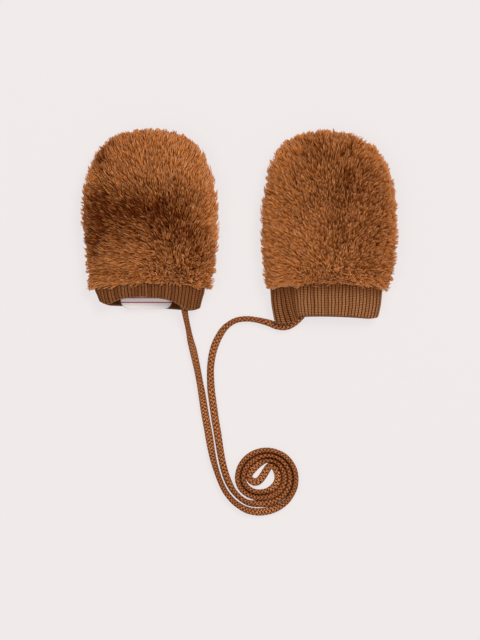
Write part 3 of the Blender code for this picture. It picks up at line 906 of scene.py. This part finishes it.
# Painted shade where the pile parts or stands on end, and painted light where it lies towards the light
PARTINGS = {
    "left": (
        Parting(-12, 56, -4, 62, 10, 0.5),
        Parting(-18, 54, -2, 40, 6, 0.42),
        Parting(16, 44, -32, 36, 10, 0.54),
        Parting(-35, 44, 88, 46, 9, 0.42),
        Parting(-21, 38, -2, 50, 9, 0.42),
        Parting(22, 60, -40, 24, 8, 0.14),
        Parting(38, 26, 90, 26, 10, 0.34),
        Parting(10, 12, 90, 18, 7, 0.12),
        Parting(0, 64, 0, 70, 9, 0.18),
        Parting(8, 28, -62, 26, 8, 0.12),
        Parting(22, 18, -80, 34, 10, 0.12),
        Parting(-31, 93, 62, 28, 5, 0.42),
        Parting(-20, 61, 10, 12, 2.5, -0.4),
        Parting(8, 64, -30, 14, 2.2, -0.3),
        Parting(20, 98, 125, 50, 14, -0.3),
        Parting(42, 66, 100, 60, 7, -0.2),
        Parting(-16, 26, 20, 30, 10, -0.05),
        Parting(-4, 92, 0, 60, 14, -0.06),
    ),
    "right": (
        Parting(14, 84, -60, 46, 11, 0.3),
        Parting(10, 70, 90, 26, 6, 0.34),
        Parting(6, 48, 96, 44, 9, 0.3),
        Parting(-10, 78, 84, 52, 8, 0.18),
        Parting(32, 5, 0, 24, 7, -0.16),
        Parting(-16, 56, 60, 24, 7, 0.12),
        Parting(-6, 88, -70, 34, 9, 0.16),
        Parting(28, 50, 88, 74, 11, 0.24),
        Parting(-32, 34, 100, 80, 12, -0.12),
        Parting(40, 92, 120, 34, 9, -0.3),
        Parting(-32, 98, 50, 34, 9, -0.2),
        Parting(14, 25, 0, 34, 8, 0.08),
        Parting(0, 50, 90, 130, 60, -0.05),
    ),
}


def on_mitten(side, points):
    """How far across and along a mitten points lie."""
    return (points[:, :2] - PLACES[side]).T


def mitten_solids(side):
    """One search tree of a mitten's solids."""
    points, faces = [], []
    for part in ("front_fur", "back_fur", "cuff"):
        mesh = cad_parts[f"{side}_{part}"].data
        start = len(points)
        points += [v.co.copy() for v in mesh.vertices]
        faces += [[start + i for i in p.vertices] for p in mesh.polygons]
    return BVHTree.FromPolygons(points, faces)


def outer_skin(side, half, solids):
    """The faces of a panel's solid that face away from the mitten, smoothed."""
    shape = bmesh.new()
    shape.from_mesh(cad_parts[f"{side}_{half}_fur"].data)
    bmesh.ops.remove_doubles(shape, verts=shape.verts, dist=0.01 * MM)
    hidden = []
    for face in shape.faces:
        start = face.calc_center_median() + face.normal * 0.05 * MM
        if solids.ray_cast(start, face.normal)[0] is not None:
            hidden.append(face)
    bmesh.ops.delete(shape, geom=hidden, context="FACES")
    mesh = bpy.data.meshes.new("skin")
    shape.to_mesh(mesh)
    shape.free()
    holder = bpy.data.objects.new("skin", mesh)
    bpy.context.collection.objects.link(holder)
    smoothing = holder.modifiers.new("smooth", "SUBSURF")
    smoothing.levels = smoothing.render_levels = 1
    smoothed = holder.evaluated_get(bpy.context.evaluated_depsgraph_get()).to_mesh()
    points = np.empty(len(smoothed.vertices) * 3)
    smoothed.vertices.foreach_get("co", points)
    normals = np.empty(len(smoothed.vertices) * 3)
    smoothed.vertex_normals.foreach_get("vector", normals)
    faces = [list(p.vertices) for p in smoothed.polygons]
    bpy.data.objects.remove(holder)
    points = points.reshape(-1, 3) / MM
    across, along = on_mitten(side, points)
    drop = np.interp(across, *zip(*TIP_DROPS[side]))
    share = np.clip((along - TIP_FROM) / (TIP_TO - TIP_FROM), 0, 1)
    points[:, 1] -= drop * share**2 * (3 - 2 * share)
    draw = np.interp(along, *zip(*SIDE_DRAWS[side]))
    points[:, 0] += draw * np.clip((across - SIDE_FROM) / (SIDE_TO - SIDE_FROM), 0, 1)
    return points, normals.reshape(-1, 3), faces


def scatter(points, normals, faces, count, seed):
    """Evenly spread places on a surface with their normals."""
    rng = np.random.default_rng(seed)
    triangles = np.array([[f[0], f[i], f[i + 1]] for f in faces for i in range(1, len(f) - 1)])
    corners = points[triangles]
    area = np.linalg.norm(np.cross(corners[:, 1] - corners[:, 0], corners[:, 2] - corners[:, 0]), axis=1) / 2
    tries = count * 3
    chosen = rng.choice(len(triangles), tries, p=area / area.sum())
    a, b = rng.random((2, tries, 1))
    flip = a + b > 1
    a, b = np.where(flip, 1 - a, a), np.where(flip, 1 - b, b)
    weights = np.concatenate([1 - a - b, a, b], axis=1)
    places = np.einsum("ni,nij->nj", weights, corners[chosen])
    facing = np.einsum("ni,nij->nj", weights, normals[triangles[chosen]])
    facing /= np.linalg.norm(facing, axis=1)[:, None]
    apart = SPREAD * math.sqrt(area.sum() / count)
    kept, cells = [], {}
    for i, place in enumerate(places):
        cell = tuple((place // apart).astype(int))
        near = False
        for dx, dy, dz in product((-1, 0, 1), repeat=3):
            for j in cells.get((cell[0] + dx, cell[1] + dy, cell[2] + dz), ()):
                gap = place - places[j]
                near = near or gap @ gap < apart * apart
        if not near:
            cells.setdefault(cell, []).append(i)
            kept.append(i)
            if len(kept) == count:
                break
    return places[kept], facing[kept]


def combed(side, x, y):
    """The pile's heading, lift and evenness at places on a mitten, blended from the table's rows."""
    rows = np.array(COMBED[side], float)
    distance = (x[:, None] - rows[:, 0]) ** 2 + (y[:, None] - rows[:, 1]) ** 2
    weight = np.exp(-distance / (2 * COMB_REACH**2)) + 1e-9
    weight /= weight.sum(axis=1)[:, None]
    turn = np.radians(rows[:, 2])
    east, north = weight @ np.cos(turn), weight @ np.sin(turn)
    agreed = np.clip(np.hypot(east, north), 0, 1) ** 2
    lift = weight @ rows[:, 3] * agreed + UNEVEN_LIFT * (1 - agreed)
    return np.arctan2(north, east), lift, agreed


def parting_shade(side, x, y):
    """How dark the pile is painted at places on a mitten, from its partings: painted shade, and painted
    light where the sum is below nothing.
    """
    total = np.zeros_like(x)
    for row in PARTINGS[side]:
        turn = math.radians(row.heading)
        dx, dy = x - row.across, y - row.along
        along = dx * math.cos(turn) + dy * math.sin(turn)
        off = -dx * math.sin(turn) + dy * math.cos(turn)
        total += row.dark * np.exp(-((off / row.width) ** 2)) * np.exp(-((along / (row.length / 2)) ** 4))
    return total


def outline_above(points):
    """Evenly spaced places along the mitten's outline, seen from above."""
    hull = convex_hull_2d([Vector(p) for p in points[:, :2]])
    loop = np.array([[*points[i, :2], 0.0] for i in (*hull, hull[0])])
    return evenly(loop, 400)[:, :2]


def rim_share(places, outline):
    """How close places come to the mitten's outline: 1 at it, and falling off inwards."""
    apart = np.linalg.norm(places[:, None, :2] - outline, axis=2).min(axis=1)
    return np.exp(-apart / RIM_REACH)


def lock_lines(kind, side, half, places, facing, dark, rim, tree, seed):
    """Where each lock's rings and tip lie: rings first, then locks."""
    rng = np.random.default_rng(seed + 1)
    count = len(places)
    x, y = on_mitten(side, places)
    heading, lift, agreed = combed(side, x, y)
    stray = np.radians(STRAY + STRAY_WHERE_UNEVEN * (1 - agreed))
    heading = heading + np.radians(SWIRL) * drift(places, 8.0, seed) + rng.normal(0, 1, count) * stray
    down = np.full(count, -COMBED_DOWN if half == "front" else 0.0)
    comb = np.stack([np.cos(heading), np.sin(heading), down], axis=1)
    comb -= facing * np.einsum("ij,ij->i", comb, facing)[:, None]
    lying = np.clip(np.linalg.norm(comb, axis=1), 1e-6, 1)
    side_way = np.cross(facing, comb) / lying[:, None]

    size = rng.normal(1, SIZES[0], count) * (1 + SIZES[1] * drift(places, 4.0, seed + 3))
    size = np.clip(size, 0.5, 1.5)
    hem = np.clip(1 - y / HEM_LOCKS, 0, 1)
    rise = PILE_DEPTH * (1.3 - 0.25 * lying + 0.2 * lift) * size * (1 - 0.25 * np.clip(dark, 0, 1))
    reach = kind.reach * (1 - 0.75 * lift) * size * (1 + hem * rng.uniform(-0.2, 0.5, count))
    bend = rng.normal(0, BENDS[0], count) + BENDS[1] * drift(places, 3.4, seed + 5)
    wave = rng.normal(0, WAVES[0], count) + WAVES[1] * drift(places, 2.8, seed + 6)
    root = places - facing * (PILE_DEPTH + ROOT_BELOW)
    stages = (*kind.rings, 1.0)
    lines = []
    for stage in stages:
        up = stage * (1.75 - 0.75 * stage)
        lines.append(root + facing * (rise * up)[:, None] + comb * (reach * stage**1.35)[:, None]
                     + side_way * (bend * stage**2 + wave * math.sin(5.5 * stage))[:, None])
    lines = np.array(lines)

    leaders = rng.choice(count, count // LOCKS_A_TUFT, replace=False)
    near = KDTree(len(leaders))
    for i, j in enumerate(leaders):
        near.insert(Vector(places[j]), i)
    near.balance()
    leader = leaders[[near.find(Vector(p))[1] for p in places]]
    proud = rng.exponential(PROUD, count)[leader] * (1 + 1.2 * rim**2) + rng.normal(0, 0.35, count)
    proud = np.minimum(proud, PROUDEST + 0.8 * rim**2) - kind.depth - 1.1 * rim**2
    for i, stage in enumerate(stages):
        lines[i] += (lines[i][leader] - lines[i]) * (TUFT_PULL * stage**1.5)
        for j, point in enumerate(lines[i]):
            on_skin, normal = tree.find_nearest(Vector(point))[:2]
            over = (Vector(point) - on_skin).dot(normal) - (proud[j] - 1.2 * (1 - stage))
            if over > 0:
                lines[i, j] -= np.array(normal) * over
    lines[..., 2] = np.maximum(lines[..., 2], 0.25)
    return lines, leader


def lock_bodies(kind, lines, facing, rim, seed):
    """Closed three-sided forms round the locks' lines, with the faces of them all."""
    count, rings = lines.shape[1], len(kind.rings)
    width = kind.half_width * np.random.default_rng(seed + 2).uniform(0.8, 1.25, count)
    width *= 1 - 0.3 * rim**2
    shares = RING_SHARES if rings == 3 else RING_SHARES[:2]
    parts = []
    for i, share in enumerate(shares):
        ahead = lines[i + 1] - lines[max(i - 1, 0)]
        ahead /= np.maximum(np.linalg.norm(ahead, axis=1), 1e-6)[:, None]
        across = np.cross(ahead, facing)
        across /= np.maximum(np.linalg.norm(across, axis=1), 1e-6)[:, None]
        over = np.cross(across, ahead)
        half_width = (width * share)[:, None]
        parts.append(np.stack([
            lines[i] - across * half_width - over * half_width * 0.3,
            lines[i] + across * half_width - over * half_width * 0.3,
            lines[i] + over * half_width * 0.75,
        ], axis=1))
    body = np.stack(parts, axis=1)
    body[..., 2] = np.maximum(body[..., 2], 0.05)
    tip = 3 * rings
    points = np.concatenate([body.reshape(count, tip, 3), lines[-1][:, None]], axis=1)
    pattern = [(0, 2, 1)]
    for ring in range(0, tip - 3, 3):
        for i in range(3):
            j = (i + 1) % 3
            pattern.append((ring + i, ring + j, ring + 3 + j))
            pattern.append((ring + i, ring + 3 + j, ring + 3 + i))
    pattern += [(tip - 3 + i, tip - 3 + (i + 1) % 3, tip) for i in range(3)]
    faces = (np.array(pattern)[None] + (tip + 1) * np.arange(count)[:, None, None]).reshape(-1, 3)
    return points.reshape(-1, 3), faces.tolist()


def teddy_pile(kind, side, half, skin, outline, tree, material, seed):
    """One kind of lock all over one panel, gathered in small clumps at the tips."""
    points, normals, faces = skin
    wanted = kind.front_count if half == "front" else kind.back_count
    places, facing = scatter(points, normals, faces, wanted, seed)
    count = len(places)
    x, y = on_mitten(side, places)
    # Painted shade: from the partings on the fronts, and evenly over the backs
    dark = parting_shade(side, x, y) if half == "front" else np.full(count, BACK_PANEL_SHADE)
    rim = rim_share(places, outline)
    lines, leader = lock_lines(kind, side, half, places, facing, dark, rim, tree, seed)
    body, body_faces = lock_bodies(kind, lines, facing, rim, seed)
    piece = mesh_object(f"{side}_{half}_{kind.name}_hair", body, body_faces, material)

    rng = np.random.default_rng(seed + 3)
    tone = MIDDLE_TONE + kind.tone + PATCH_TONES * drift(places, 9.0, seed + 7)
    tone += CLUMP_TONES * drift(places, 2.2, seed + 9) + rng.normal(0, TUFT_TONES, count)[leader]
    tone += rng.normal(0, LOCK_TONES, count) * (1 + np.clip(dark, 0, 1))
    # Painted shade and painted light from the partings, and painted light at the outline
    tone = np.clip(tone - DARKEST * np.tanh(dark / DARKEST) + RIM_LIGHT * rim, 0.02, 0.98)
    heights = (LOW_POINTS, LOW_POINTS, 1.0)
    along = np.array([stage * share for stage in kind.rings for share in heights] + [1.0])
    # Painted light at the outline: the rim's locks paler, most towards their roots
    rim_lit_along = along + (1 - along) * 0.5 * rim[:, None]
    uv = np.stack([np.repeat(tone, len(along)), np.clip(rim_lit_along.ravel(), 0.02, 0.98)], axis=1)
    add_uv(piece, "OFBake", uv)
    return piece


def teddy_panel(side, half, skin, outline, tree, pile, backing, seed):
    """One cut panel of teddy cloth: its backing and the pile on it."""
    points, normals, faces = skin
    inner = points - normals * PILE_DEPTH
    if half == "back":
        inner[:, 2] = np.maximum(inner[:, 2], PILE_DEPTH * 0.6)
    cloth = mesh_object(f"{side}_{half}_backing", inner, faces, backing)
    wall = cloth.modifiers.new("cloth", "SOLIDIFY")
    wall.thickness = BACKING * MM
    wall.offset = -1
    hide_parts(f"{side}_{half}_fur")
    for i, kind in enumerate(LOCK_KINDS):
        if half == "front" or kind.back_count:
            teddy_pile(kind, side, half, skin, outline, tree, pile, seed + 20 * i)


def teddy_fur(side, pile, backing):
    """The front and back panels of one mitten."""
    solids = mitten_solids(side)
    skins = {half: outer_skin(side, half, solids) for half in ("front", "back")}
    joined = np.vstack([skins["front"][0], skins["back"][0]])
    start = len(skins["front"][0])
    faces = [*skins["front"][2], *([i + start for i in face] for face in skins["back"][2])]
    tree = BVHTree.FromPolygons(joined.tolist(), faces)
    for half, skin in skins.items():
        teddy_panel(side, half, skin, outline_above(joined), tree, pile, backing, SEEDS[side, half])


# Floor and light


def floor():
    """A white table, partly lit from below so that it takes almost no shadow."""
    material, add = new_material("white_light_table")
    glow = {"Emission_Color": srgb("#f0eaea"), "Emission_Strength": 0.85}
    white = {"Base_Color": srgb("#605e5e"), "Roughness": 0.9, "Specular_IOR_Level": 0.0}
    shader = add("BsdfPrincipled", **white, **glow)
    add("OutputMaterial", shader)
    mesh = bpy.data.meshes.new("floor")
    reach = 3.0
    corners = [(-reach, -reach, 0), (reach, -reach, 0), (reach, reach, 0), (-reach, reach, 0)]
    mesh.from_pydata(corners, [], [(0, 1, 2, 3)])
    mesh.materials.append(material)
    ground = bpy.data.objects.new("floor", mesh)
    ground.location.z = -0.0002
    bpy.context.collection.objects.link(ground)


def area_light(name, place, size, power, colour):
    data = bpy.data.lights.new(name, "AREA")
    data.shape = "DISK"
    data.size = size
    data.energy = power
    data.color = srgb(colour)[:3]
    light = bpy.data.objects.new(name, data)
    light.location = place
    light.rotation_euler = (Vector((0, -0.05, 0)) - Vector(place)).to_track_quat("-Z", "Y").to_euler()
    bpy.context.collection.objects.link(light)


def studio():
    area_light("key", (0.9, 1.1, 2.2), 1.2, 42, "#fffaf5")
    area_light("fill", (-1.2, -0.6, 2.6), 2.0, 24, "#fffdfb")
    world = bpy.data.worlds.new("studio")
    world.use_nodes = True
    world.node_tree.nodes["Background"].inputs["Color"].default_value = srgb("#ffffff")
    world.node_tree.nodes["Background"].inputs["Strength"].default_value = 0.45
    bpy.context.scene.world = world
    bpy.context.scene.view_settings.view_transform = "Standard"


def main():
    knitted_cord(cord_material())
    rib = rib_material()
    pile, backing = pile_material(), backing_material()
    for side in ("left", "right"):
        ribbed_cuff(side, rib)
        teddy_fur(side, pile, backing)
    woven_label(label_material())
    floor()
    studio()


main()
